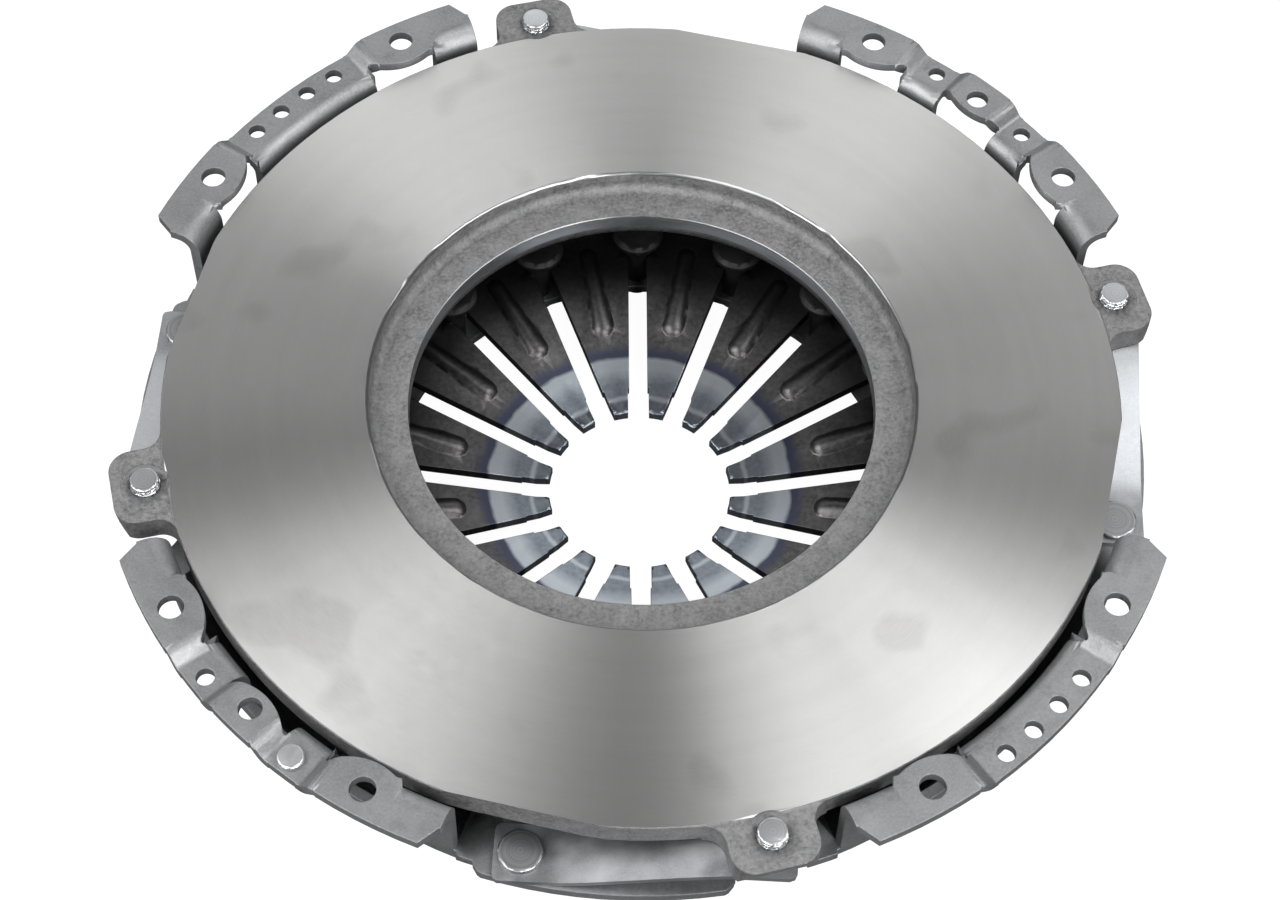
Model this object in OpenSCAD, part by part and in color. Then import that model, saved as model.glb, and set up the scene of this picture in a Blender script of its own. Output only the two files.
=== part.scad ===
// Clutch cover assembly for a 400 mm truck clutch, seen from its friction side.
// Origin: centre of the bolt circle, in the plane of the flange pads that meet the flywheel.
// +Z points to the flywheel, so the friction face looks up and the cover's back is lowest.
// Angles run from +X. Four flange segments stand at 45, 135, 225 and 315 degrees.
// All sizes in millimetres.

/* [Flange] */
// Circle through the eight bolt holes
bolt_circle_d = 430; // [428:0.5:432]
// Outer diameter of the flange pads
flange_d = 451; // [449:0.5:454]
// Sheet thickness of the pressed steel cover
sheet_t = 4.5; // [4:0.1:5]
// Bolt hole diameter
bolt_hole_d = 10.5; // [9:0.1:11.5]
// Diameter of the two middle holes
middle_hole_d = 9.6; // [8:0.1:10.5]
// Small balance holes in the recessed lands
balance_hole_d = 7.5; // [6.5:0.1:8]
// Circle through the balance holes
balance_circle_d = 436.8; // [435:0.2:438]
// How far the lands between the pads lie below the pads
recess_depth = 5.1; // [4.2:0.1:6]
// Bend radius from the wall into the end pads
pad_bend_r = 10; // [9:0.5:12]

/* [Cover dish] */
// Outer diameter of the upright wall
wall_outer_d = 417; // [416:0.5:418]
// Depth from the pads to the back of the cover
cover_depth = 90; // [89:0.5:94]
// Opening in the back of the cover
back_opening_d = 222; // [214:1:222]
// Outer radius of the corner between wall and back
corner_r = 18; // [14:0.5:20]
// Depth of the strap shelves below the pads
shelf_depth = 36.7; // [35.5:0.1:38]
// Outer diameter over the strap shelves
shelf_outer_d = 428; // [424:0.5:432]
// Depth of the window sills below the pads
window_depth = 30; // [26:0.5:32]
// Radius of the tongues that carry the bolt holes
tongue_r = 25; // [23.5:0.5:27]

/* [Pressure plate] */
// Outer diameter of the friction ring
ring_outer_d = 400; // [396:0.5:401]
// Inner diameter of the friction ring
ring_inner_d = 231; // [228:0.5:234]
// How far the new friction face lies below the flange pads
face_depth = 6.1; // [5.5:0.1:7]
// Thickness of the rim beside the straps
rim_t = 12.4; // [11:0.1:12.6]
// Thickness of the plate body
plate_t = 24; // [22:0.5:26]
// Diameter of the machined bore
bore_d = 196; // [192:0.5:200]
// Step from the friction face down to the inner ledge
ledge_step = 9.6; // [7:0.1:12]
// Diameter of the ring that the spring presses on
fulcrum_d = 344; // [338:1:348]
// Distance of the rim flats from the axis
flat_dist = 197.3; // [196:0.1:198.5]
// Number of ribs on the back of the plate
rib_count = 24; // [16:1:28]

/* [Lugs] */
// Angle of the lugs from the quarter lines
lug_angle = 12.94; // [12.5:0.02:13.4]
// Width of a lug
lug_w = 35; // [32:0.5:37]
// Distance of the lug's outer face from the axis
lug_reach = 221.9; // [220:0.1:223]
// Thickness of a lug
lug_t = 12; // [11:0.1:12.5]
// Radius of the lug's outer corners
lug_corner_r = 9.5; // [6:0.5:12]
// Diameter of the spot face round a lug rivet
spot_d = 20; // [18:0.5:24]
// Distance of the lug rivets from the axis
lug_rivet_r = 208; // [207.4:0.1:208.6]

/* [Straps] */
// Width of a leaf
strap_w = 24; // [20:0.5:25]
// Thickness of a leaf
leaf_t = 0.9; // [0.7:0.05:0.95]
// How far a leaf runs past its rivet
strap_overhang = 10.5; // [9:0.5:11]
// Angle of the cover rivets from the quarter lines
strap_rivet_angle = 13.9; // [13.6:0.05:14.2]
// Distance of the cover rivets from the axis
strap_rivet_r = 202.8; // [202:0.1:203.6]
// Head diameter of the cover rivets
strap_head_d = 17.8; // [15:0.2:18.4]

/* [Diaphragm spring] */
// Outer diameter of the spring
spring_outer_d = 364; // [358:1:366]
// Circle through the finger tips
tip_circle_d = 80; // [76:0.5:86]
// Thickness of the spring
spring_t = 4.5; // [4.2:0.1:4.6]
// Slope of the free spring in degrees
cone_angle = 13.6; // [13.4:0.05:13.8]
// Width of the slots between the fingers
slot_w = 8.3; // [7:0.1:9]
// Width of the slots at the finger tips
tip_slot_w = 9.4; // [9.1:0.1:10.4]
// Keyhole at the end of each slot
keyhole_d = 13; // [12:0.1:14]
// Width of the stiffening bead on a finger
bead_w = 11; // [9:0.5:12]
// Height of the stiffening bead
bead_h = 2.5; // [1.6:0.1:2.8]

/* [Pivot] */
// Diameter of the pivot rings along the wire's centre
pivot_d = 258; // [257:0.5:259]
// Wire diameter of the pivot rings
wire_d = 6.5; // [6:0.1:6.7]
// Circle through the pivot rivets
rivet_circle_d = 238; // [237:0.25:238.5]
// Diameter of a pivot rivet's post
post_d = 11; // [10:0.1:11.2]
// Head diameter of a pivot rivet
post_head_d = 23; // [22:0.2:24]

/* [Hidden] */
$fn = 96;
n_finger = 16;
finger_pitch = 360 / n_finger;
quads = [0, 90, 180, 270];
bolt_r = bolt_circle_d / 2;
flange_r = flange_d / 2;
wall_ro = wall_outer_d / 2;
wall_ri = wall_ro - sheet_t;
t = sheet_t;
land_z = -recess_depth;
land_r = flange_r - 0.5;
shelf_z = -shelf_depth;
shelf_r = shelf_outer_d / 2;
back_z = -cover_depth;
back_r = back_opening_d / 2;

// The pads are 24 degrees to each side of their middle, less at the outer corners.
seg_half = 24;
seg_outer_half = 22.5;
bolt_half = 15;
window_a = 9.7;
window_b = 18.3;
mid_window = 4.4;
mid_pad = 3.3;

// The corner of the dish is an arc round this point.
corner_x = wall_ro - 10.5 - corner_r;
corner_z = back_z + 6 + corner_r;
pocket_half = 45 - seg_half;

// Spring surfaces: the top line passes through the middle of the front pivot ring's seat.
slope = tan(cone_angle);
thick_z = spring_t / cos(cone_angle);
pivot_r = pivot_d / 2;
pivot_top_z = back_z + 25.76;
function spring_top(r) = pivot_top_z + (r - pivot_r) * slope;
function spring_bottom(r) = spring_top(r) - thick_z;
spring_ro = spring_outer_d / 2;
tip_r = tip_circle_d / 2;
wire_r = wire_d / 2;
wire_gap = 0.04;
front_ring_z = spring_top(pivot_r) + (wire_r + wire_gap) / cos(cone_angle);
rear_ring_z = spring_bottom(pivot_r) - (wire_r + wire_gap) / cos(cone_angle);
ridge_z = rear_ring_z - wire_r - wire_gap;
rivet_r = rivet_circle_d / 2;
post_r = post_d / 2;
post_shank_r = 4.6;
hole_gap = 0.05;

// Pressure plate levels, from the friction face down.
face_z = -face_depth;
rim_z = face_z - rim_t;
plate_z = face_z - plate_t;
ledge_z = face_z - ledge_step;
ring_ro = ring_outer_d / 2;
ring_ri = ring_inner_d / 2;
bore_r = bore_d / 2;
body_r = 184;
fulcrum_r = fulcrum_d / 2;
fulcrum_z = spring_top(fulcrum_r) + 0.3;
hub_z = face_z - 22;

// A strap is riveted under a lug at one end and on a shelf at the other.
lug_z = -7;
lug_under_z = lug_z - lug_t;
spot_z = lug_z - 0.2;
strap_x0 = strap_rivet_r * cos(strap_rivet_angle);
strap_y0 = -strap_rivet_r * sin(strap_rivet_angle);
strap_x1 = lug_rivet_r * cos(lug_angle);
strap_y1 = lug_rivet_r * sin(lug_angle);
strap_len = sqrt(pow(strap_x1 - strap_x0, 2) + pow(strap_y1 - strap_y0, 2));
strap_dir = atan2(strap_y1 - strap_y0, strap_x1 - strap_x0);
pack_t = 3 * leaf_t;
strap_low_z = shelf_z + pack_t;
strap_high_z = lug_under_z - 0.02;
strap_rise = strap_high_z - strap_low_z;
leaf_gap = 0.02;
strap_shank_r = 5.25;
lug_shank_r = 5;

// Points along an arc, ends included.
function arc(cx, cy, r, a0, a1, n) =
    [for (i = [0:n]) [cx + r * cos(a0 + (a1 - a0) * i / n), cy + r * sin(a0 + (a1 - a0) * i / n)]];

// A point given by radius and angle.
function polar(r, a) = [r * cos(a), r * sin(a)];

// A wedge of the plane between two angles, out to radius r.
module wedge(a0, a1, r) {
    far = r / cos((a1 - a0) / 4) + 2;
    polygon([[0, 0], polar(far, a0), polar(far, (a0 + a1) / 2), polar(far, a1)]);
}

// A revolved profile between two angles.
module sweep(a0, a1) {
    rotate([0, 0, a0])
        rotate_extrude(angle = a1 - a0, $fn = 288)
            children();
}

// A ring sector between two radii, two angles and two heights.
module at_polar(r, a) {
    rotate([0, 0, a])
        translate([r, 0, 0])
            children();
}

// Cover: back of the dish with its opening, rivet land and pressed ridge for the rear ring.
function back_inner_line() = [
    [pivot_r + 13, back_z + 5.8],
    [pivot_r + 2.8, ridge_z - 0.6],
    [pivot_r + 1.6, ridge_z],
    [pivot_r - 1.2, ridge_z],
    [pivot_r - 2.6, ridge_z - 0.8],
    [pivot_r - 4.0, back_z + t],
    [back_r, back_z + t]];
function back_outer_line() = [
    [back_r, back_z],
    [pivot_r - 0.4, back_z],
    [pivot_r + 1.4, ridge_z - t - 0.4],
    [pivot_r + 2.6, ridge_z - t - 0.4],
    [pivot_r + 9.5, back_z + 1.4]];

// The corner of the dish is drawn in seven equal steps. Its third step is where a pocket's wall stands.
corner_steps = 7;
function corner_arc(R, i0, i1) =
    [for (i = [i0:i1]) polar(R, -90 + 90 * i / corner_steps) + [corner_x, corner_z]];
function corner_at(r, R) = corner_z - sqrt(R * R - pow(r - corner_x, 2));
function reversed(list) = [for (i = [len(list) - 1:-1:0]) list[i]];
pocket_ro = corner_x + corner_r * cos(-90 + 270 / corner_steps);
pocket_ri = pocket_ro - t;
wall_mid = wall_ro - t / 2;
land_bend_r = pad_bend_r - 2;
land_root_z = land_z - land_bend_r - 3;

// One section round the whole cover: back, corner, wall, bend and pad.
module cover_profile() {
    bend_x = wall_ri + pad_bend_r;
    polygon(concat(
        back_outer_line(),
        corner_arc(corner_r, 0, corner_steps),
        [[wall_ro, shelf_z]],
        arc(bend_x, -pad_bend_r, pad_bend_r - t, 180, 90, 6),
        [[flange_r, -t], [flange_r, 0]],
        arc(bend_x, -pad_bend_r, pad_bend_r, 90, 180, 6),
        [[wall_ri, shelf_z]],
        reversed(corner_arc(corner_r - t, 0, corner_steps)),
        back_inner_line()));
}

// Filling between two segments, from which the pocket and its side walls are cut.
module pocket_block() {
    mid_r = corner_r - t / 2;
    sweep(-pocket_half + 0.05, pocket_half - 0.05)
        polygon(concat(
            [[pocket_ri, shelf_z + 2], [wall_mid, shelf_z + 2], [wall_mid, shelf_z]],
            reversed(corner_arc(mid_r, 3, corner_steps)),
            [[pocket_ri, corner_at(pocket_ri, mid_r)]]));
}

module pocket_cut() {
    half = pocket_half - 1.3;
    sweep(-half, half)
        translate([pocket_ro, back_z - 10])
            square([60, shelf_z - t - back_z + 10]);
}

// Everything above the shelves between two segments, and the corners of their pads.
module gap_cut() {
    translate([0, 0, shelf_z])
        linear_extrude(height = 60)
            union() {
                wedge(-pocket_half, pocket_half, flange_r + 10);
                for (s = [-1, 1]) {
                    polygon([
                        polar(bolt_r + 2, s * (pocket_half - 2)),
                        polar(bolt_r + 2, s * (pocket_half + 0.2)),
                        polar(flange_r, s * (pocket_half + seg_half - seg_outer_half)),
                        polar(flange_r + 6, s * (pocket_half + seg_half - seg_outer_half + 0.8)),
                        polar(flange_r + 6, s * (pocket_half - 2))]);
                }
            }
}

// Strap shelf outside the wall: a lobe for the cover rivet and a short stub.
module shelf_lobe() {
    lobe_a = -19;
    lobe_b = 9.5;
    translate([0, 0, shelf_z - t])
        linear_extrude(height = t)
            union() {
                intersection() {
                    circle(r = shelf_r - 4, $fn = 288);
                    polygon([
                        polar(pocket_ri + 2, -pocket_half + 0.4),
                        polar(shelf_r + 4, -pocket_half + 0.4),
                        polar(shelf_r + 9, 0),
                        polar(shelf_r + 4, pocket_half - 0.4),
                        polar(pocket_ri + 2, pocket_half - 0.4),
                        polar(pocket_ri + 2, 0)]);
                }
                intersection() {
                    circle(r = shelf_r, $fn = 288);
                    polygon([
                        polar(shelf_r - 20, lobe_a),
                        polar(shelf_r - 6.5, lobe_a),
                        polar(shelf_r - 3, lobe_a + 0.4),
                        polar(shelf_r - 0.6, lobe_a + 1.1),
                        polar(shelf_r + 1, lobe_a + 2.2),
                        polar(shelf_r + 5, -5),
                        polar(shelf_r + 1, lobe_b - 2.2),
                        polar(shelf_r - 0.6, lobe_b - 1.1),
                        polar(shelf_r - 3, lobe_b - 0.4),
                        polar(shelf_r - 6.5, lobe_b),
                        polar(shelf_r - 20, lobe_b)]);
                }
            }
}

// Notch in the shelf that lets the lug rivet's lower end travel down past it.
module lug_notch() {
    translate([0, 0, shelf_z - t - 2])
        linear_extrude(height = t + 4)
            union() {
                translate(polar(lug_rivet_r + 3.5, lug_angle + 0.3))
                    circle(r = 14.6, $fn = 64);
                rotate(lug_angle + 0.3)
                    translate([lug_rivet_r + 3.5, -14])
                        square([30, 28]);
            }
}

// The pad sheet is cut away where a land lies lower.
module land_cut(a0, a1) {
    translate([0, 0, land_root_z])
        linear_extrude(height = 60)
            wedge(a0, a1, flange_r + 10);
}

// A recessed land with its own tighter bend, rooted in the wall below.
module land(a0, a1) {
    bend_x = wall_ri + land_bend_r;
    bend_z = land_z - land_bend_r;
    sweep(a0, a1)
        polygon(concat(
            [[wall_ri, land_root_z], [wall_mid, land_root_z - 3], [wall_ro, land_root_z]],
            arc(bend_x, bend_z, land_bend_r - t, 180, 90, 5),
            [[land_r, land_z - t], [land_r, land_z]],
            arc(bend_x, bend_z, land_bend_r, 90, 180, 5)));
}

// Clears the flat part of a land under a ramp.
module under_ramp_cut(a0, a1) {
    sweep(a0, a1)
        translate([wall_ri + land_bend_r - 1, land_z - t - 3])
            square([40, t + 8]);
}

// A ramp's two creases are rounded, the lower one on its top and the upper one on its underside.
crease_low_r = 2.5;
crease_high_r = t + 1.2;
function ramp_half(a0, a1) = bolt_r * sin(abs(a1 - a0) / 2);
function ramp_lean(a0, a1) = atan(recess_depth / (2 * ramp_half(a0, a1)));
function ramp_reach(a0, a1) =
    asin((ramp_half(a0, a1) + crease_high_r * tan(ramp_lean(a0, a1) / 2)) / bolt_r);

// Ramp between a land at angle a0 and a pad at angle a1. Past the window's side it runs in further.
module ramp(a0, a1, window_side) {
    s = a1 > a0 ? 1 : -1;
    r_in = wall_ri + 1;
    half = ramp_half(a0, a1);
    lean = ramp_lean(a0, a1);
    skin = 0.03;
    low_x = -half - crease_low_r * tan(lean / 2);
    high_x = half + crease_high_r * tan(lean / 2);
    low_z = land_z - skin + crease_low_r;
    high_z = -skin - crease_high_r;
    sheet = t - 2 * skin;
    intersection() {
        rotate([0, 0, (a0 + a1) / 2])
            mirror([0, a1 < a0 ? 1 : 0, 0])
                translate([r_in, 0, 0])
                    rotate([90, 0, 90])
                        linear_extrude(height = flange_r - r_in + 2)
                            polygon(concat(
                                [[low_x - 1.2, land_z - skin]],
                                arc(low_x, low_z, crease_low_r, 270, 270 + lean, 3),
                                arc(high_x, high_z, crease_high_r, 90 + lean, 90, 4),
                                [[high_x + 1.2, -skin], [high_x + 1.2, -skin - sheet]],
                                arc(high_x, high_z, crease_high_r - sheet, 90, 90 + lean, 3),
                                arc(low_x, low_z, crease_low_r + sheet, 270 + lean, 270, 4),
                                [[low_x - 1.2, land_z - skin - sheet]]));
        translate([0, 0, -20])
            cylinder(h = 30, r = flange_r - 0.25, $fn = 288);
        translate([0, 0, -21])
            linear_extrude(height = 32)
                polygon([
                    polar(wall_ro + 2, a0 - s * 1.6),
                    polar(wall_ro + 2, window_side),
                    polar(wall_ri + 1.2, window_side),
                    polar(wall_ri + 1.2, a1 + s * 2),
                    polar(flange_r + 4, a1 + s * 2),
                    polar(flange_r + 4, a0 - s * 1.6)]);
    }
}

// Where a rounded corner of radius f, beside the radial line at angle a, meets a tongue's edge.
// side is 1 where the opening lies on the line's left and -1 on its right.
function corner_centre(a, side, centre, r, f) =
    let (
        u = [cos(a), sin(a)],
        n = side * [-sin(a), cos(a)],
        d = centre - f * n,
        along = u * d - sqrt(pow(u * d, 2) - d * d + pow(r + f, 2)))
    along * u + f * n;

// Edge of an opening from the line at angle a0, round a tongue, to the line at angle a1.
// Its two corners have the radii f and g.
function opening_edge(a0, a1, centre, r, f, g) =
    let (
        p = corner_centre(a0, 1, centre, r, f),
        q = corner_centre(a1, -1, centre, r, g),
        dp = centre - p,
        dq = centre - q,
        ap = atan2(dp[1], dp[0]),
        aq = atan2(dq[1], dq[0]))
    concat(
        arc(p[0], p[1], f, a0 - 90, ap, 5),
        arc(centre[0], centre[1], r, ap - 180, aq - 180, 16),
        arc(q[0], q[1], g, aq, a1 + 90, 5));

// Room in the wall and its bend, in which a tongue lies flat.
module window_room(a0, a1) {
    far_r = wall_ri + pad_bend_r + 0.6;
    translate([0, 0, -window_depth])
        linear_extrude(height = window_depth + 4)
            polygon([
                polar(wall_ri - 12, a0),
                polar(far_r, a0),
                polar(far_r + 0.5, (a0 + a1) / 2),
                polar(far_r, a1),
                polar(wall_ri - 12, a1)]);
}

// Opening between two side lines and the round edge of a tongue.
module opening_cut(a0, a1, centre, r, f, g) {
    translate([0, 0, -window_depth])
        linear_extrude(height = window_depth + 4)
            polygon(concat(
                [polar(wall_ri - 12, a1), polar(wall_ri - 12, a0)],
                opening_edge(a0, a1, centre, r, f, g)));
}

// The tongue is the pad's own sheet, left flat over the window.
module tongue() {
    near = pad_cut - 0.1;
    far = window_b + 0.1;
    translate([0, 0, -t + 0.02])
        linear_extrude(height = t - 0.04)
            polygon([
                polar(wall_ri - 3, near),
                polar(bolt_r + 7, near),
                polar(bolt_r + 8, (near + far) / 2),
                polar(bolt_r + 7, far),
                polar(wall_ri + 3.2, far),
                polar(wall_ri - 3, window_b - 0.8)]);
}

pad_cut = 9.75 + ramp_reach(9, 10.5);
middle_cut = (4.5 + mid_pad) / 2 - ramp_reach(4.5, mid_pad);

// Slope from a tongue's outer side down to the bend beside it.
module tongue_shoulder() {
    rotate([0, 0, window_b])
        translate([wall_ri + 3.2, 0, 0])
            rotate([90, 0, 90])
                linear_extrude(height = 8)
                    polygon([
                        [-0.9, -0.05], [0.2, -0.05], [1.4, -0.7], [4.6, -3.5],
                        [4.6, -5], [-0.9, -t + 0.05]]);
}

// Both sides of a segment have a ramp, and the land between them is one sweep.
module segment_land() {
    difference() {
        land(-pad_cut - 0.1, pad_cut + 0.1);
        under_ramp_cut(9, pad_cut + 0.5);
        under_ramp_cut(-pad_cut - 0.5, -9);
        window_room(window_a, window_b);
        window_room(-window_b, -window_a);
    }
    ramp(9, 10.5, window_a);
    ramp(-9, -10.5, -window_a);
    for (s = [0, 1]) {
        mirror([0, s, 0]) {
            tongue();
            tongue_shoulder();
        }
    }
}

module segment_openings() {
    centre_r = bolt_r - 12 + tongue_r;
    opening_cut(window_a, window_b, polar(centre_r, bolt_half), tongue_r, 0.8, 3);
    opening_cut(-window_b, -window_a, polar(centre_r, -bolt_half), tongue_r, 3, 0.8);
}

// Two of the segments have a pad in the middle too, over a window of its own.
module middle_clear() {
    translate([0, 0, -window_depth])
        linear_extrude(height = window_depth + 5)
            polygon([
                polar(wall_ri - 12, -mid_window),
                polar(flange_r + 6, -mid_window),
                polar(flange_r + 6, mid_window),
                polar(wall_ri - 12, mid_window)]);
}

module middle_pad() {
    difference() {
        union() {
            translate([0, 0, -t])
                linear_extrude(height = t)
                    intersection() {
                        circle(r = flange_r, $fn = 288);
                        wedge(-middle_cut - 0.05, middle_cut + 0.05, flange_r + 5);
                        translate([wall_ri, -20])
                            square([40, 40]);
                    }
            ramp(4.5, mid_pad, mid_window);
            ramp(-4.5, -mid_pad, -mid_window);
        }
        opening_cut(-mid_window, mid_window, [bolt_r - 7.7 + 26, 0], 26, 0.8, 0.8);
    }
}

module through(r, a, d) {
    at_polar(r, a)
        translate([0, 0, -14])
            cylinder(h = 20, d = d, $fn = 64);
}

module cover_blank() {
    difference() {
        union() {
            rotate_extrude($fn = 288)
                cover_profile();
            for (q = quads) {
                rotate([0, 0, q])
                    pocket_block();
            }
        }
        for (q = quads) {
            rotate([0, 0, q]) {
                gap_cut();
                pocket_cut();
            }
            rotate([0, 0, 45 + q])
                land_cut(-pad_cut, pad_cut);
        }
    }
}

module cover_shell() {
    difference() {
        union() {
            difference() {
                cover_blank();
                for (q = quads) {
                    rotate([0, 0, 45 + q]) {
                        window_room(window_a, window_b);
                        window_room(-window_b, -window_a);
                    }
                }
            }
            for (q = quads) {
                rotate([0, 0, q])
                    shelf_lobe();
                rotate([0, 0, 45 + q])
                    segment_land();
            }
        }
        for (q = quads) {
            rotate([0, 0, q])
                lug_notch();
            rotate([0, 0, 45 + q])
                segment_openings();
        }
        for (a = [45, 225]) {
            rotate([0, 0, a])
                middle_clear();
        }
    }
    for (a = [45, 225]) {
        rotate([0, 0, a])
            middle_pad();
    }
}

module cover() {
    color([0.50, 0.52, 0.52])
        difference() {
            cover_shell();
            for (q = quads) {
                for (s = [-1, 1]) {
                    through(bolt_r, 45 + q + s * bolt_half, bolt_hole_d);
                }
            }
            for (a = [45, 225]) {
                through(bolt_r, a, middle_hole_d);
                for (s = [-1, 1]) {
                    through(balance_circle_d / 2, a + s * 6.57, balance_hole_d);
                }
            }
            for (a = [135, 315]) {
                for (s = [-6, -2, 2, 6]) {
                    through(balance_circle_d / 2, a + s, balance_hole_d);
                }
            }
            for (q = quads) {
                at_polar(strap_rivet_r, q - strap_rivet_angle)
                    translate([0, 0, shelf_z - t - 5])
                        cylinder(h = t + 10, r = strap_shank_r + hole_gap, $fn = 64);
            }
            for (i = [0:n_finger - 1]) {
                at_polar(rivet_r, i * finger_pitch)
                    translate([0, 0, back_z - 5])
                        cylinder(h = t + 10, r = post_shank_r + hole_gap, $fn = 48);
            }
        }
}

// Stiffening bead pressed up along a finger, wider at its inner end: a revolved capsule.
module bead() {
    r_in = 83.5;
    r_out = 116.5;
    half_in = bead_w / 2;
    half_out = bead_w / 2 - 1.3;
    rad_in = (half_in * half_in + bead_h * bead_h) / (2 * bead_h);
    rad_out = (half_out * half_out + bead_h * bead_h) / (2 * bead_h);
    z_in = spring_top(r_in) + bead_h - rad_in;
    z_out = spring_top(r_out) + bead_h - rad_out;
    run = sqrt(pow(r_out - r_in, 2) + pow(z_out - z_in, 2));
    lean = atan2(z_out - z_in, r_out - r_in);
    start = [for (i = [0:5]) [rad_in * sin(18 * i), -rad_in * cos(18 * i)]];
    end = [for (i = [5:-1:0]) [rad_out * sin(18 * i), run + rad_out * cos(18 * i)]];
    translate([r_in, 0, z_in])
        rotate([0, 90 - lean, 0])
            rotate_extrude($fn = 48)
                polygon(concat(start, end));
}

// Diaphragm spring: a slotted cone whose inner part is sixteen fingers.
module diaphragm_spring() {
    bend_r = tip_r + 6;
    color([0.30, 0.32, 0.34])
        difference() {
            union() {
                rotate_extrude($fn = 192)
                    polygon([
                        [tip_r, spring_bottom(bend_r) - 0.3],
                        [bend_r, spring_bottom(bend_r)],
                        [spring_ro - 0.6, spring_bottom(spring_ro - 0.6)],
                        [spring_ro, spring_bottom(spring_ro) + 0.8],
                        [spring_ro, spring_top(spring_ro) - 0.8],
                        [spring_ro - 0.6, spring_top(spring_ro - 0.6)],
                        [bend_r, spring_top(bend_r)],
                        [tip_r + 0.8, spring_top(bend_r) - 0.3],
                        [tip_r, spring_top(bend_r) - 1.1]]);
                intersection() {
                    for (i = [0:n_finger - 1]) {
                        rotate([0, 0, (i + 0.5) * finger_pitch])
                            bead();
                    }
                    rotate_extrude($fn = 192)
                        polygon([
                            [70, spring_top(70) - thick_z / 2],
                            [124, spring_top(124) - thick_z / 2],
                            [124, spring_top(124) + 10],
                            [70, spring_top(70) + 10]]);
                }
            }
            for (i = [0:n_finger - 1]) {
                rotate([0, 0, i * finger_pitch]) {
                    translate([20, -slot_w / 2, back_z - 10])
                        cube([rivet_r - 20, slot_w, 60]);
                    translate([20, -tip_slot_w / 2, back_z - 10])
                        cube([32, tip_slot_w, 60]);
                    translate([rivet_r, 0, back_z - 10])
                        cylinder(h = 60, d = keyhole_d, $fn = 48);
                }
            }
        }
}

module wire_ring(z) {
    translate([0, 0, z])
        rotate_extrude($fn = 128)
            translate([pivot_r, 0])
                circle(r = wire_r, $fn = 32);
}

module pivot_ring_front() {
    color([0.42, 0.43, 0.44])
        wire_ring(front_ring_z);
}

module pivot_ring_rear() {
    color([0.42, 0.43, 0.44])
        wire_ring(rear_ring_z);
}

// Shouldered rivets that stand on the cover's back and hold both rings and the spring.
module pivot_rivets() {
    head_z = front_ring_z + wire_r + wire_gap;
    head_r = post_head_d / 2;
    color([0.55, 0.56, 0.57])
        for (i = [0:n_finger - 1]) {
            at_polar(rivet_r, i * finger_pitch)
                rotate_extrude($fn = 48)
                    polygon([
                        [0, back_z - 3.6],
                        [5.4, back_z - 3.6],
                        [7.4, back_z - 1.8],
                        [7.4, back_z],
                        [post_shank_r, back_z],
                        [post_shank_r, back_z + t],
                        [post_r, back_z + t],
                        [post_r, head_z],
                        [head_r, head_z],
                        [head_r, head_z + 2.2],
                        [head_r - 1.6, head_z + 3.8],
                        [0, head_z + 3.8]]);
        }
}

// Pressure plate section: friction ring, inner ledge and bore, and the body below.
module plate_profile() {
    polygon(concat(
        [[ring_ri, face_z], [ring_ro - 0.5, face_z], [ring_ro, face_z - 0.5], [ring_ro, rim_z + 1.5],
        [ring_ro - 1.5, rim_z], [body_r + 3, rim_z]],
        arc(body_r + 3, rim_z - 3, 3, 90, 180, 3),
        [[body_r - 1, plate_z + 2], [body_r - 3, plate_z], [ring_ri + 6, plate_z],
        [ring_ri, hub_z], [bore_r + 1.5, hub_z], [bore_r + 0.8, ledge_z - 7.6],
        [bore_r, ledge_z - 6.8], [bore_r, ledge_z - 0.5], [bore_r + 0.5, ledge_z]],
        arc(ring_ri - 1.2 - 4, ledge_z + 4, 4, 270, 360, 4),
        [[ring_ri - 1.2, face_z - 1.3]]));
}

// One cast lug with rounded corners, root fillets and draft on its outer face.
module lug() {
    inner = ring_ro - 8;
    half = lug_w / 2;
    c = lug_corner_r;
    root_r = 8;
    root_x = sqrt(pow(ring_ro + root_r, 2) - pow(half + root_r, 2));
    difference() {
        translate([0, 0, lug_under_z])
            linear_extrude(height = lug_t)
                difference() {
                    union() {
                        translate([inner, -half])
                            square([lug_reach - c - inner, lug_w]);
                        translate([inner, -half + c])
                            square([lug_reach - inner, lug_w - 2 * c]);
                        for (s = [-1, 1]) {
                            translate([lug_reach - c, s * (half - c)])
                                circle(r = c, $fn = 64);
                        }
                        translate([inner - 4, -half - root_r + 0.8])
                            square([root_x - inner + 4, lug_w + 2 * root_r - 1.6]);
                    }
                    for (s = [-1, 1]) {
                        translate([root_x, s * (half + root_r)])
                            circle(r = root_r, $fn = 64);
                    }
                }
        translate([lug_reach, 0, lug_z])
            rotate([0, 18, 0])
                translate([0, -half - 5, -20])
                    cube([14, lug_w + 10, 24]);
    }
}

module rib() {
    rotate([90, 0, 0])
        linear_extrude(height = 7, center = true)
            polygon([
                [ring_ri + 3, plate_z + 3],
                [ring_ri + 3, plate_z - 2.5],
                [fulcrum_r - 6, plate_z - 14],
                [fulcrum_r, plate_z - 14],
                [fulcrum_r, plate_z + 3]]);
}

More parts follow.
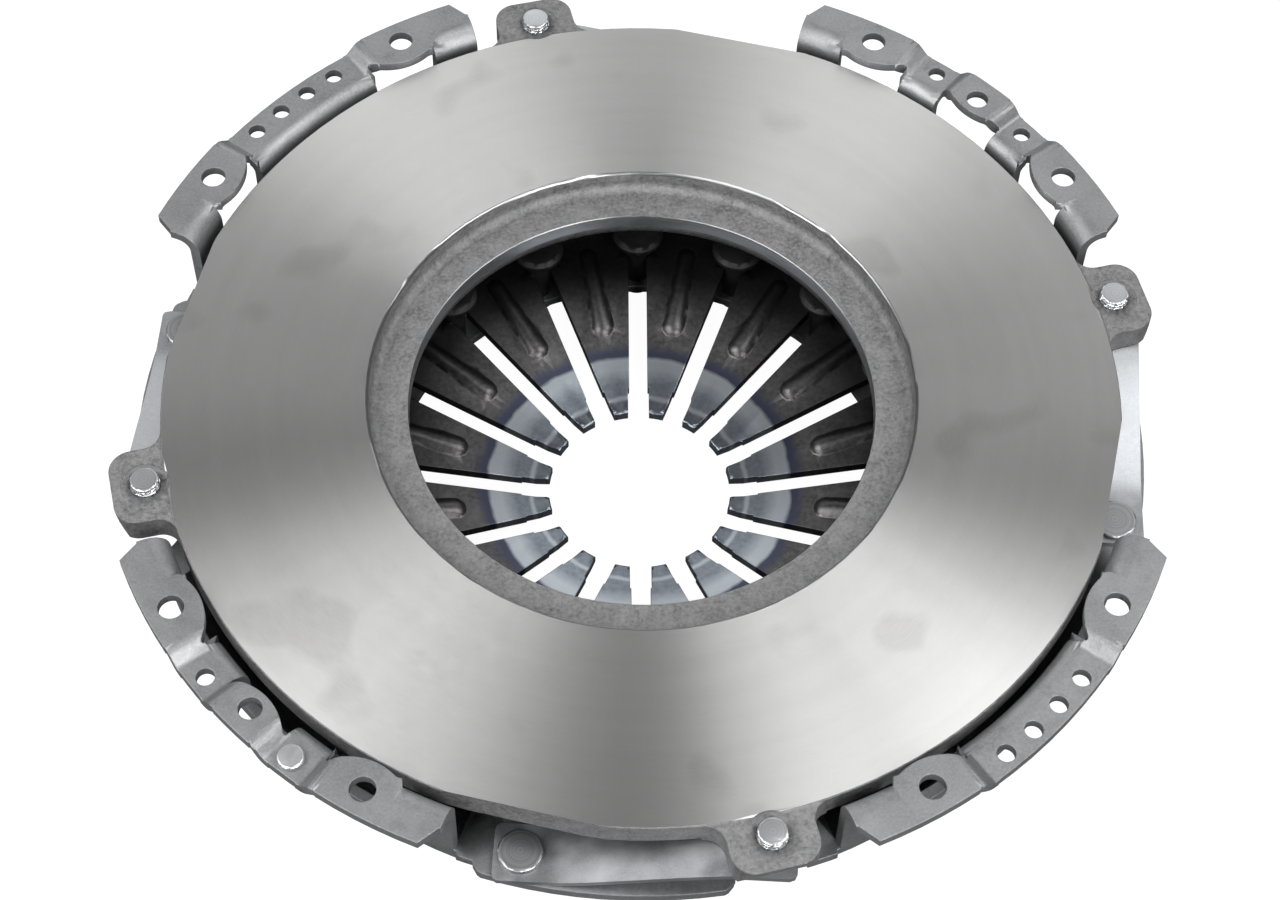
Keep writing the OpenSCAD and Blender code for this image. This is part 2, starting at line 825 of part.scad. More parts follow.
// Cast pressure plate with four lugs, ribs and the broken ring that the spring presses on.
module pressure_plate() {
    rib_pitch = 360 / rib_count;
    color([0.62, 0.63, 0.64])
        difference() {
            union() {
                rotate_extrude($fn = 288)
                    plate_profile();
                difference() {
                    rotate_extrude($fn = 288)
                        polygon([
                            [fulcrum_r - 5.5, plate_z + 1],
                            [fulcrum_r - 3, fulcrum_z + 1.6],
                            [fulcrum_r - 1.4, fulcrum_z],
                            [fulcrum_r + 0.6, fulcrum_z + 0.35],
                            [fulcrum_r + 2.8, fulcrum_z + 2.2],
                            [fulcrum_r + 6.5, plate_z + 1]]);
                    for (i = [0:rib_count - 1]) {
                        rotate([0, 0, (i + 0.5) * rib_pitch])
                            translate([fulcrum_r - 12, -7, fulcrum_z - 5])
                                cube([24, 14, 14]);
                    }
                }
                for (i = [0:rib_count - 1]) {
                    rotate([0, 0, i * rib_pitch])
                        rib();
                }
                for (q = quads) {
                    rotate([0, 0, q + lug_angle])
                        lug();
                }
            }
            for (q = quads) {
                rotate([0, 0, q - strap_rivet_angle])
                    translate([flat_dist, -45, rim_z - 5])
                        cube([20, 90, rim_t + 10]);
                at_polar(lug_rivet_r, q + lug_angle) {
                    translate([0, 0, spot_z])
                        cylinder(h = 10, d = spot_d, $fn = 64);
                    translate([0, 0, lug_under_z - 5])
                        cylinder(h = 20, r = lug_shank_r + hole_gap, $fn = 64);
                }
            }
        }
}

// Lug rivets: ringed head in the spot face, shank through lug and leaves, upset end below.
module lug_rivets() {
    low = strap_high_z - pack_t - leaf_gap;
    color([0.75, 0.76, 0.77])
        for (q = quads) {
            at_polar(lug_rivet_r, q + lug_angle)
                rotate_extrude($fn = 64)
                    polygon([
                        [0, low - 3.8],
                        [6.6, low - 3.8],
                        [8.6, low - 2],
                        [8.6, low],
                        [lug_shank_r, low],
                        [lug_shank_r, spot_z],
                        [6.1, spot_z],
                        [6.1, spot_z + 0.9],
                        [5.3, spot_z + 1.3],
                        [5.9, spot_z + 1.7],
                        [5.9, spot_z + 2.5],
                        [5.2, spot_z + 2.9],
                        [5.75, spot_z + 3.3],
                        [5.75, spot_z + 4.0],
                        [5.3, spot_z + 4.4],
                        [0, spot_z + 4.4]]);
        }
}

// Cover rivets: flat turned head on the strap, shank through the shelf, upset end below.
module strap_rivets() {
    color([0.68, 0.69, 0.70])
        for (q = quads) {
            at_polar(strap_rivet_r, q - strap_rivet_angle)
                rotate_extrude($fn = 64)
                    polygon([
                        [0, shelf_z - t - 3.8],
                        [5.6, shelf_z - t - 3.8],
                        [7.6, shelf_z - t - 1.8],
                        [7.6, shelf_z - t],
                        [strap_shank_r, shelf_z - t],
                        [strap_shank_r, strap_low_z],
                        [strap_head_d / 2, strap_low_z],
                        [strap_head_d / 2, strap_low_z + 1.8],
                        [strap_head_d / 2 - 0.4, strap_low_z + 2.2],
                        [0, strap_low_z + 2.2]]);
        }
}

// Balance rivet in one of the small holes.
module balance_rivet() {
    head_r = 5.35;
    color([0.78, 0.79, 0.80])
        at_polar(balance_circle_d / 2, 231.57)
            rotate_extrude($fn = 64)
                polygon([
                    [0, land_z - t - 2.4],
                    [4.2, land_z - t - 2.4],
                    [5.4, land_z - t - 1.2],
                    [5.4, land_z - t],
                    [balance_hole_d / 2 - hole_gap, land_z - t],
                    [balance_hole_d / 2 - hole_gap, land_z],
                    [head_r, land_z],
                    [head_r, land_z + 2.2],
                    [head_r - 0.6, land_z + 2.8],
                    [0, land_z + 2.8]]);
}

// One spring leaf: flat at both rivets and sloping in between. Leaf 0 lies on top.
module leaf(layer) {
    half = strap_w / 2;
    far = strap_len + strap_overhang;
    clip = 3;
    th = leaf_t - leaf_gap;
    difference() {
        intersection() {
            translate([0, half + 1, strap_low_z - layer * leaf_t])
                rotate([90, 0, 0])
                    linear_extrude(height = strap_w + 2)
                        polygon([
                            [-strap_overhang, 0],
                            [14, 0],
                            [18, 0.4],
                            [strap_len - 18, strap_rise - 0.4],
                            [strap_len - 14, strap_rise],
                            [far, strap_rise],
                            [far, strap_rise - th],
                            [strap_len - 14, strap_rise - th],
                            [strap_len - 18, strap_rise - 0.4 - th],
                            [18, 0.4 - th],
                            [14, -th],
                            [-strap_overhang, -th]]);
            translate([0, 0, strap_low_z - 10])
                linear_extrude(height = strap_rise + 20)
                    polygon([
                        [-strap_overhang, -half + clip],
                        [-strap_overhang + clip, -half],
                        [far - clip, -half],
                        [far, -half + clip],
                        [far, half - clip],
                        [far - clip, half],
                        [-strap_overhang + clip, half],
                        [-strap_overhang, half - clip]]);
        }
        translate([0, 0, strap_low_z - 10])
            cylinder(h = 20, r = strap_shank_r + hole_gap, $fn = 64);
        translate([strap_len, 0, strap_high_z - 10])
            cylinder(h = 20, r = lug_shank_r + hole_gap, $fn = 64);
    }
}

module strap_leaf(quarter, layer) {
    color([0.46, 0.47, 0.49])
        rotate([0, 0, 90 * quarter])
            translate([strap_x0, strap_y0, 0])
                rotate([0, 0, strap_dir])
                    leaf(layer);
}

module strap_1_leaf_a() { strap_leaf(0, 0); }
module strap_1_leaf_b() { strap_leaf(0, 1); }
module strap_1_leaf_c() { strap_leaf(0, 2); }
module strap_2_leaf_a() { strap_leaf(1, 0); }
module strap_2_leaf_b() { strap_leaf(1, 1); }
module strap_2_leaf_c() { strap_leaf(1, 2); }
module strap_3_leaf_a() { strap_leaf(2, 0); }
module strap_3_leaf_b() { strap_leaf(2, 1); }
module strap_3_leaf_c() { strap_leaf(2, 2); }
module strap_4_leaf_a() { strap_leaf(3, 0); }
module strap_4_leaf_b() { strap_leaf(3, 1); }
module strap_4_leaf_c() { strap_leaf(3, 2); }

cover();
diaphragm_spring();
pivot_ring_front();
pivot_ring_rear();
pivot_rivets();
pressure_plate();
lug_rivets();
strap_rivets();
balance_rivet();
strap_1_leaf_a();
strap_1_leaf_b();
strap_1_leaf_c();
strap_2_leaf_a();
strap_2_leaf_b();
strap_2_leaf_c();
strap_3_leaf_a();
strap_3_leaf_b();
strap_3_leaf_c();
strap_4_leaf_a();
strap_4_leaf_b();
strap_4_leaf_c();
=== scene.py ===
# %% [markdown]
# # A clutch cover assembly
# The object is a truck clutch's pressure plate: a pressed steel cover, a slotted disc spring, and a
# heavy cast plate with a ground face. The shapes come from the exact model, which is loaded as a
# frame. This lesson dresses that frame: it models the pieces that bend, gives each piece its finish,
# and sets up the camera and the light.

# %% Load the frame
import math
import bpy
from mathutils import Matrix, Vector


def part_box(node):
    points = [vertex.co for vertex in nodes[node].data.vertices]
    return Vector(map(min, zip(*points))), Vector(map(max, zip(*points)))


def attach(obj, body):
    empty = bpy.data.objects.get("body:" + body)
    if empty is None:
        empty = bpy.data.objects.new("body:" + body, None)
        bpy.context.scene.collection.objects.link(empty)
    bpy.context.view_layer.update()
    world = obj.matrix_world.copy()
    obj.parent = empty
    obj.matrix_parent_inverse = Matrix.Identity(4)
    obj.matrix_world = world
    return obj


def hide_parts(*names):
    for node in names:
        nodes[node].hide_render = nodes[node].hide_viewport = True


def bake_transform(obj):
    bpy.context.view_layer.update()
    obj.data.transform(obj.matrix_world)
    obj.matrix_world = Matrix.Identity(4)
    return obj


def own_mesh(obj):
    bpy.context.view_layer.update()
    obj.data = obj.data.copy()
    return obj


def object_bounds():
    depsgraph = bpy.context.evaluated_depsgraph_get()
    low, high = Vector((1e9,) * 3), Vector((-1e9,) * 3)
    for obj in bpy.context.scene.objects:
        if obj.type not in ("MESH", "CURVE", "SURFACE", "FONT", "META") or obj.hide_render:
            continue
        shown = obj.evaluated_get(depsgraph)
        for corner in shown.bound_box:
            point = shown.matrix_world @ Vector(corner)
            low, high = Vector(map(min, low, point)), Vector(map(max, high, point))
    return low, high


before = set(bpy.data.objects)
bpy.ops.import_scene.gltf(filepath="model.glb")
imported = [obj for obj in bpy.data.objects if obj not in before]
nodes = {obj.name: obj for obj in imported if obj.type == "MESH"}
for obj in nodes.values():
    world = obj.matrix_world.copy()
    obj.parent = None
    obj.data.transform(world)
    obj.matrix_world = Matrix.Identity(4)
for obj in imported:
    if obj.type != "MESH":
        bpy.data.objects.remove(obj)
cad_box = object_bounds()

MM = 0.001

# %% [markdown]
# ## The camera
# The photograph looks down on the friction face at about 56 degrees. The camera stands a little over
# a metre away, with a long lens, and is rolled by one and a half degrees. The clutch's axis meets the
# flange plane above the middle of the picture, so the lens is shifted rather than turned.

# %% Place the camera
ELEVATION = math.radians(55.69)
TURN = math.radians(1.93)
ROLL = math.radians(1.52)
DISTANCE = 1122.7 * MM
IMAGE_WIDTH = 1280
IMAGE_HEIGHT = 900
FOCAL_PIXELS = 2701.1
AXIS_PIXEL = (642.5, 379.7)


def photo_camera():
    level_share = math.cos(ELEVATION)
    back = Vector((-level_share * math.sin(TURN), -level_share * math.cos(TURN), math.sin(ELEVATION)))
    level = Vector((math.cos(TURN), -math.sin(TURN), 0))
    steep = back.cross(level)
    right = math.cos(ROLL) * level + math.sin(ROLL) * steep
    up = back.cross(right)
    data = bpy.data.cameras.new("photo_camera")
    data.sensor_width = 36
    data.lens = FOCAL_PIXELS / IMAGE_WIDTH * data.sensor_width
    data.shift_x = (IMAGE_WIDTH / 2 - AXIS_PIXEL[0]) / IMAGE_WIDTH
    data.shift_y = (AXIS_PIXEL[1] - IMAGE_HEIGHT / 2) / IMAGE_WIDTH
    data.clip_end = 20
    camera = bpy.data.objects.new("photo_camera", data)
    facing = Matrix((right, up, back)).transposed().to_4x4()
    camera.matrix_world = Matrix.Translation(back * DISTANCE) @ facing
    bpy.context.scene.collection.objects.link(camera)
    bpy.context.scene.camera = camera
    return camera


camera = photo_camera()
print("lens", round(camera.data.lens, 2), "mm, at", [round(v, 3) for v in camera.location])

# %% [markdown]
# ## Small tools for finishes
# Every finish is a Principled shader whose colour and relief come from procedural textures, and so does
# the roughness of all but the turned rivet heads. The textures read Object coordinates, which are the
# real place in metres, so a grain of half a millimetre is written as half a millimetre.

# %% Helpers for finishes


class Finish:
    """A material under construction: short names for adding and joining shader nodes."""

    def __init__(self, name, metallic=1.0, roughness=0.4):
        self.material = bpy.data.materials.new(name)
        self.material.use_nodes = True
        self.tree = self.material.node_tree
        self.shader = self.tree.nodes["Principled BSDF"]
        self.shader.inputs["Metallic"].default_value = metallic
        self.shader.inputs["Roughness"].default_value = roughness
        self.place = self.add("ShaderNodeTexCoord").outputs["Object"]

    def add(self, kind, **settings):
        node = self.tree.nodes.new(kind)
        for key, value in settings.items():
            setattr(node, key, value)
        return node

    def join(self, source, target):
        self.tree.links.new(source, target)

    def math(self, operation, a, b=None):
        node = self.add("ShaderNodeMath", operation=operation)
        for socket, value in zip(node.inputs, (a, b)):
            if value is None:
                continue
            if isinstance(value, (int, float)):
                socket.default_value = value
            else:
                self.join(value, socket)
        return node.outputs[0]

    def noise(self, size_mm, detail=3.0, rough=0.5, source=None):
        node = self.add("ShaderNodeTexNoise")
        node.inputs["Scale"].default_value = 1000.0 / size_mm
        node.inputs["Detail"].default_value = detail
        node.inputs["Roughness"].default_value = rough
        self.join(source or self.place, node.inputs["Vector"])
        return node.outputs["Fac"]

    def spread(self, value, low, high, to_low=0.0, to_high=1.0):
        node = self.add("ShaderNodeMapRange")
        limits = {"From Min": low, "From Max": high, "To Min": to_low, "To Max": to_high}
        for name, number in limits.items():
            node.inputs[name].default_value = number
        self.join(value, node.inputs["Value"])
        return node.outputs["Result"]

    def mix(self, amount, first, second):
        node = self.add("ShaderNodeMix", data_type="RGBA")
        self.join(amount, node.inputs["Factor"])
        for socket, value in ((node.inputs["A"], first), (node.inputs["B"], second)):
            if isinstance(value, tuple):
                socket.default_value = (*value, 1.0)
            else:
                self.join(value, socket)
        return node.outputs["Result"]

    def colour(self, value):
        self.join(value, self.shader.inputs["Base Color"])

    def relief(self, height, depth_mm, edge_mm=0.0):
        bump = self.add("ShaderNodeBump")
        bump.inputs["Distance"].default_value = depth_mm * MM
        bump.inputs["Strength"].default_value = 1.0
        self.join(height, bump.inputs["Height"])
        if edge_mm:
            edge = self.add("ShaderNodeBevel", samples=4)
            edge.inputs["Radius"].default_value = edge_mm * MM
            self.join(edge.outputs["Normal"], bump.inputs["Normal"])
        self.join(bump.outputs["Normal"], self.shader.inputs["Normal"])

    def polar(self):
        """Distance from the clutch's axis, angle round it in radians, and height, in metres."""
        split = self.add("ShaderNodeSeparateXYZ")
        self.join(self.place, split.inputs[0])
        x, y, z = split.outputs
        square = self.math("ADD", self.math("MULTIPLY", x, x), self.math("MULTIPLY", y, y))
        return self.math("SQRT", square), self.math("ARCTAN2", y, x), z

    def turned(self):
        """Points the tangent along the radius, across the circles that a lathe or a grinder leaves."""
        flat = self.add("ShaderNodeVectorMath", operation="MULTIPLY")
        flat.inputs[1].default_value = (1, 1, 0)
        self.join(self.place, flat.inputs[0])
        self.join(flat.outputs[0], self.shader.inputs["Tangent"])


print("finish tools ready")

# %% [markdown]
# ## Pieces from the exact model
# A node of the frame comes in as loose triangles. Each is copied and its points are merged, so every
# solid becomes one shell. Its gentle curves are shaded smooth while its real edges stay crisp. The
# normals are weighted by area, so a wide flat face stays flat beside a narrow bend. The copy then takes
# the node's place and rides the same body.

# %% Copy a node as a piece of its own
MERGE_DISTANCE = 0.002 * MM
SMOOTH_BELOW = math.radians(28)
bpy.ops.object.select_all(action="DESELECT")


def joined_copy(node_name, piece_name):
    piece = nodes[node_name].copy()
    piece.data = nodes[node_name].data.copy()
    piece.name = piece_name
    piece.data.name = piece_name
    piece.parent = None
    piece.matrix_world = Matrix.Identity(4)
    for key in list(piece.keys()):
        del piece[key]
    bpy.context.scene.collection.objects.link(piece)
    bpy.context.view_layer.objects.active = piece
    piece.select_set(True)
    bpy.ops.object.mode_set(mode="EDIT")
    bpy.ops.mesh.select_all(action="SELECT")
    bpy.ops.mesh.remove_doubles(threshold=MERGE_DISTANCE)
    bpy.ops.object.mode_set(mode="OBJECT")
    bpy.ops.object.shade_smooth_by_angle(angle=SMOOTH_BELOW)
    weighted = piece.modifiers.new("even_normals", "WEIGHTED_NORMAL")
    weighted.keep_sharp = True
    weighted.weight = 100
    bpy.ops.object.modifier_apply(modifier=weighted.name)
    piece.select_set(False)
    piece.data.materials.clear()
    return piece


def dress(node_name, piece_name, body, slot, *materials):
    piece = joined_copy(node_name, piece_name)
    for material in materials:
        piece.data.materials.append(material)
    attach(piece, body)
    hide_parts(node_name)
    return piece


print("copy tools ready")

# %% [markdown]
# ## The cover's finish
# The cover is pressed from thick sheet, tumbled and lightly oiled. It is a satin grey with soft cloudy
# stains, darker blotches and a fine bright grain. Three noises of different size make these: clouds
# of about 40 mm, blotches of 9 mm and a grain of 1 mm. The blotches also change the roughness, so the
# sheen breaks up as oil does.

# %% Finish of the cover


def pressed_steel():
    f = Finish("pressed_steel", metallic=0.8)
    clouds = f.noise(38, detail=4, rough=0.55)
    grain = f.noise(1.1, detail=2, rough=0.6)
    blotch = f.noise(9, detail=5, rough=0.65)
    base = f.mix(f.spread(clouds, 0.35, 0.65), (0.182, 0.187, 0.191), (0.248, 0.253, 0.257))
    worn = f.mix(f.spread(blotch, 0.56, 0.72, 0.0, 0.55), base, (0.12, 0.125, 0.132))
    f.colour(f.mix(f.spread(grain, 0.35, 0.7, 0.0, 0.35), worn, (0.36, 0.365, 0.368)))
    f.join(f.spread(blotch, 0.3, 0.7, 0.40, 0.54), f.shader.inputs["Roughness"])
    f.relief(f.math("ADD", grain, f.math("MULTIPLY", blotch, 0.8)), 0.045, edge_mm=0.7)
    return f.material


cover = dress("cover", "pressed_cover", "cover", "cover_steel", pressed_steel())
print(cover.name, len(cover.data.polygons), "faces")

# %% [markdown]
# ## The plate's finishes
# The plate is a grey iron casting. Its friction face is ground in circles, so its highlight fans out
# in bright and dark sectors, as on a record. An anisotropic shader does this, with its tangent along
# the radius. The edge of the inner ledge and the bore are turned, and all the rest keeps the rough skin
# of the casting.

# %% Finishes of the plate
LINE_STRETCH = 12 * MM


def ground_face():
    f = Finish("ground_face", metallic=1.0)
    radius, angle, _ = f.polar()
    ring = f.add("ShaderNodeCombineXYZ")
    f.join(radius, ring.inputs["X"])
    f.join(f.math("MULTIPLY", angle, LINE_STRETCH), ring.inputs["Y"])
    lines = f.noise(0.5, detail=3, rough=0.7, source=ring.outputs[0])
    bands = f.noise(7, detail=2, rough=0.5, source=ring.outputs[0])
    stains = f.noise(46, detail=2, rough=0.4)
    base = f.mix(f.spread(bands, 0.3, 0.7), (0.515, 0.512, 0.51), (0.54, 0.538, 0.536))
    oiled = f.mix(f.spread(stains, 0.62, 0.68, 0.0, 0.5), base, (0.38, 0.375, 0.37))
    f.colour(f.mix(f.spread(lines, 0.35, 0.65, 0.0, 0.25), oiled, (0.60, 0.60, 0.60)))
    f.join(f.spread(lines, 0.3, 0.7, 0.305, 0.355), f.shader.inputs["Roughness"])
    f.shader.inputs["Anisotropic"].default_value = 0.9
    f.turned()
    f.relief(lines, 0.002)
    return f.material


def cast_skin():
    f = Finish("cast_skin", metallic=0.7)
    sand = f.noise(1.6, detail=4, rough=0.65)
    lumps = f.noise(7, detail=3, rough=0.5)
    base = f.mix(f.spread(sand, 0.3, 0.7), (0.085, 0.085, 0.086), (0.23, 0.23, 0.232))
    f.colour(f.mix(f.spread(lumps, 0.35, 0.7, 0.0, 0.35), base, (0.29, 0.29, 0.292)))
    f.join(f.spread(sand, 0.3, 0.7, 0.52, 0.72), f.shader.inputs["Roughness"])
    f.relief(f.math("ADD", sand, lumps), 0.45, edge_mm=0.9)
    return f.material


def turned_iron():
    f = Finish("turned_iron", metallic=1.0)
    radius, _, height = f.polar()
    marks = f.add("ShaderNodeCombineXYZ")
    f.join(radius, marks.inputs["X"])
    f.join(height, marks.inputs["Z"])
    feed = f.noise(0.35, detail=2, rough=0.6, source=marks.outputs[0])
    f.colour(f.mix(f.spread(feed, 0.3, 0.7), (0.30, 0.302, 0.306), (0.46, 0.463, 0.468)))
    f.join(f.spread(feed, 0.3, 0.7, 0.26, 0.40), f.shader.inputs["Roughness"])
    f.shader.inputs["Anisotropic"].default_value = 0.6
    f.turned()
    f.relief(feed, 0.01, edge_mm=0.4)
    return f.material


# %% [markdown]
# ## One casting, three finishes
# Machining touches only a few places of the casting. A maker sees which by where they lie, so the
# faces are sorted by depth below the friction face, by radius and by direction. Each sort gets its own
# material slot, which leaves the mesh in one piece.

# %% Sort the plate's faces
PLATE_FINISHES = [cast_skin(), ground_face(), turned_iron()]
SKIN, GROUND, TURNED = range(3)
plate = dress("pressure_plate", "ground_plate", "plate", "cast_plate", *PLATE_FINISHES)
face_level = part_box("pressure_plate")[1][2]
BORE_RADIUS = 98.2 * MM
STEP_RADIUS = 115.6 * MM
GROUND_DEPTH = 0.3 * MM
STEP_EDGE_DEPTH = 1.6 * MM
BORE_TOP = 9.4 * MM
BORE_BOTTOM = 17.2 * MM
BORE_MARGIN = 0.4 * MM


def plate_sort(centre, normal):
    radius = math.hypot(centre.x, centre.y)
    depth = face_level - centre.z
    in_bore = radius < BORE_RADIUS + BORE_MARGIN and BORE_TOP < depth < BORE_BOTTOM
    if depth < GROUND_DEPTH and normal.z > 0.9:
        return GROUND
    if in_bore and abs(normal.z) < 0.95:
        return TURNED
    if radius < STEP_RADIUS and depth < STEP_EDGE_DEPTH:
        return TURNED
    return SKIN


for face in plate.data.polygons:
    face.material_index = plate_sort(face.center, face.normal)
print("ground faces:", sum(face.material_index == GROUND for face in plate.data.polygons))

# %% [markdown]
# ## The disc spring
# The spring flattens as the plate is pressed back. A copy of its exact mesh is joined into one closed
# shell. Its steel is dark from tempering, and painted shade darkens it further outwards, where the
# plate keeps the light off the fingers. The inner ends of the fingers are polished: a light band, a
# bright ring, and a blue edge from hardening. All of them are circles round the axis, so the finish
# mixes its colours by the distance from the axis.

# %% Finish of the spring
BRIGHT_RING = 47.5 * MM
LIGHT_BAND = (54.5 * MM, 61 * MM)
BLUE_EDGE = (65.5 * MM, 67.2 * MM)
TEMPERED_FROM = (69 * MM, 73.5 * MM)
PAINTED_SHADE_FROM = (80 * MM, 108 * MM)
BAND_WANDER = 4 * MM


def spring_steel():
    f = Finish("spring_steel", metallic=0.9)
    radius, _, _ = f.polar()
    scale = f.noise(2.2, detail=4, rough=0.7)
    smears = f.noise(17, detail=3, rough=0.6)
    dark = f.mix(f.spread(scale, 0.3, 0.7), (0.050, 0.048, 0.048), (0.110, 0.107, 0.107))
    dark = f.mix(f.spread(smears, 0.5, 0.7, 0.0, 0.5), dark, (0.135, 0.132, 0.132))
    wander = f.math("MULTIPLY", f.math("SUBTRACT", smears, 0.5), BAND_WANDER)
    inward = f.math("ADD", radius, wander)
    # Painted shade: from 80 mm outwards the fingers are darkened towards black, for the shade under the
    # plate.
    painted_shade = f.spread(radius, *PAINTED_SHADE_FROM, 0.0, 0.85)
    dark = f.mix(painted_shade, dark, (0.010, 0.010, 0.010))
    steel = f.mix(f.spread(scale, 0.3, 0.7), (0.13, 0.15, 0.175), (0.20, 0.222, 0.25))
    steel = f.mix(f.spread(inward, *LIGHT_BAND, 0.0, 0.8), steel, (0.36, 0.39, 0.42))
    ring = f.math("ABSOLUTE", f.math("SUBTRACT", inward, BRIGHT_RING))
    steel = f.mix(f.spread(ring, 0.4 * MM, 1.6 * MM, 0.8, 0.0), steel, (0.36, 0.39, 0.42))
    banded = f.mix(f.spread(inward, *BLUE_EDGE), steel, (0.050, 0.056, 0.085))
    f.colour(f.mix(f.spread(inward, *TEMPERED_FROM), banded, dark))
    f.join(f.spread(inward, 64 * MM, 72 * MM, 0.28, 0.36), f.shader.inputs["Roughness"])
    f.relief(scale, 0.035, edge_mm=0.6)
    return f.material


spring = dress("diaphragm_spring", "disc_spring", "cover", "spring_steel", spring_steel())
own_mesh(spring)
print("spring faces:", len(spring.data.polygons))

# %% [markdown]
# ## The straps
# Each strap is a pack of three thin leaves, riveted to the cover at one end and to a lug of the plate
# at the other. They carry the torque and pull the plate back. A leaf has to bend between the two
# bodies, so it can't be the rigid node. Its rise is measured from the node, its length follows from the
# two rivets, and its level ends are set.

# %% Measure a strap from its node
LEAVES = ("a", "b", "c")
STRAP_WIDTH = 24 * MM
LEAF_THICKNESS = 0.88 * MM
LEAF_PITCH = 0.9 * MM
OVERHANG = 10.5 * MM
FLAT_END = 14 * MM


def on_circle(radius, degrees):
    turn = math.radians(degrees)
    return Vector((radius * math.cos(turn), radius * math.sin(turn), 0))


COVER_RIVET = on_circle(202.8 * MM, -13.9)
LUG_RIVET = on_circle(208 * MM, 12.94)
STRAP_LENGTH = (LUG_RIVET - COVER_RIVET).length
low_leaf, high_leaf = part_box("strap_1_leaf_a")
LOW_TOP = low_leaf[2] + LEAF_THICKNESS
HIGH_TOP = high_leaf[2]
print("strap rises", round((HIGH_TOP - LOW_TOP) / MM, 2), "mm over", round(STRAP_LENGTH / MM, 1), "mm")


def strap_height(along):
    """Height of a leaf's top over its length: level, a soft S, and level again."""
    share = (along - FLAT_END) / (STRAP_LENGTH - 2 * FLAT_END)
    share = min(max(share, 0.0), 1.0)
    eased = 0.35 * share * share * (3 - 2 * share) + 0.65 * share
    return LOW_TOP + (HIGH_TOP - LOW_TOP) * eased


# %% [markdown]
# One leaf is drawn lying along X, with its cover rivet at the origin. A small block is its end, and the
# block's far face is extruded in equal steps that follow the strap's height. Many short steps make the
# S soft. A bevel then clips the corners, and cylinders cut the two rivet holes.

# %% Draw one leaf
STEPS = 28
END_BLOCK = 2 * MM
END_MARGIN = 0.1 * MM
CORNER_CLIP = 3 * MM
COVER_RIVET_HOLE = 5.3 * MM
LUG_RIVET_HOLE = 5.05 * MM
CUTTER_DEPTH = 60 * MM


def bore_leaf(leaf, place, radius):
    bpy.ops.mesh.primitive_cylinder_add(vertices=48, radius=radius, depth=CUTTER_DEPTH, location=place)
    tool = bpy.context.object
    tool.select_set(False)
    hole = leaf.modifiers.new("hole", "BOOLEAN")
    hole.operation = "DIFFERENCE"
    hole.object = tool
    bpy.context.view_layer.objects.active = leaf
    bpy.ops.object.modifier_apply(modifier=hole.name)
    bpy.data.objects.remove(tool)


def draw_leaf():
    bpy.ops.object.select_all(action="DESELECT")
    bpy.ops.mesh.primitive_cube_add(size=1, location=(0, 0, 0))
    leaf = bpy.context.object
    leaf.scale = (END_BLOCK, STRAP_WIDTH, LEAF_THICKNESS)
    leaf.location = (-OVERHANG + END_BLOCK / 2, 0, LOW_TOP - LEAF_THICKNESS / 2)
    bpy.ops.object.transform_apply(location=True, rotation=True, scale=True)
    total = STRAP_LENGTH + 2 * OVERHANG
    step = (total - END_BLOCK) / STEPS
    bpy.ops.object.mode_set(mode="EDIT")
    bpy.ops.mesh.select_mode(type="FACE")
    bpy.ops.mesh.select_all(action="DESELECT")
    bpy.ops.object.mode_set(mode="OBJECT")
    for face in leaf.data.polygons:
        face.select = face.normal.x > 0.9
    bpy.ops.object.mode_set(mode="EDIT")
    along = -OVERHANG + END_BLOCK
    for _ in range(STEPS):
        rise = strap_height(along + step) - strap_height(along)
        bpy.ops.mesh.extrude_region_move(TRANSFORM_OT_translate={"value": (step, 0, rise)})
        along += step
    bpy.ops.object.mode_set(mode="OBJECT")
    return leaf


def clip_corners(leaf, size):
    bpy.ops.object.mode_set(mode="EDIT")
    bpy.ops.mesh.select_mode(type="EDGE")
    bpy.ops.mesh.select_all(action="DESELECT")
    bpy.ops.object.mode_set(mode="OBJECT")
    near = -OVERHANG + END_MARGIN
    far = STRAP_LENGTH + OVERHANG - END_MARGIN
    for edge in leaf.data.edges:
        a, b = (leaf.data.vertices[i].co for i in edge.vertices)
        sideways = math.hypot(a.x - b.x, a.y - b.y)
        upright = abs(a.z - b.z) > LEAF_THICKNESS / 2 and sideways < 0.01 * MM
        edge.select = upright and (a.x < near or a.x > far)
    bpy.ops.object.mode_set(mode="EDIT")
    bpy.ops.mesh.bevel(offset=size, segments=2, profile=0.5)
    bpy.ops.object.mode_set(mode="OBJECT")


first_leaf = draw_leaf()
clip_corners(first_leaf, CORNER_CLIP)
bore_leaf(first_leaf, (0, 0, LOW_TOP), COVER_RIVET_HOLE)
bore_leaf(first_leaf, (STRAP_LENGTH, 0, HIGH_TOP), LUG_RIVET_HOLE)
print("leaf:", len(first_leaf.data.vertices), "points")

# %% [markdown]
# The leaf's mesh is copied twelve times. Each copy is moved into its place in the pack and turned to
# its quarter.

# %% Finish of the straps, and the twelve leaves


def strap_steel():
    f = Finish("strap_steel", metallic=0.95)
    grain = f.noise(0.8, detail=3, rough=0.6)
    smears = f.noise(14, detail=3, rough=0.55)
    base = f.mix(f.spread(smears, 0.3, 0.7), (0.30, 0.31, 0.325), (0.42, 0.43, 0.445))
    f.colour(f.mix(f.spread(grain, 0.4, 0.7, 0.0, 0.4), base, (0.50, 0.51, 0.52)))
    f.join(f.spread(smears, 0.3, 0.7, 0.32, 0.46), f.shader.inputs["Roughness"])
    f.relief(grain, 0.02)
    return f.material


STRAP_FINISH = strap_steel()
LEAF_SMOOTH_BELOW = math.radians(25)
leaf_line = LUG_RIVET - COVER_RIVET
LEAF_TURN = math.atan2(leaf_line.y, leaf_line.x)


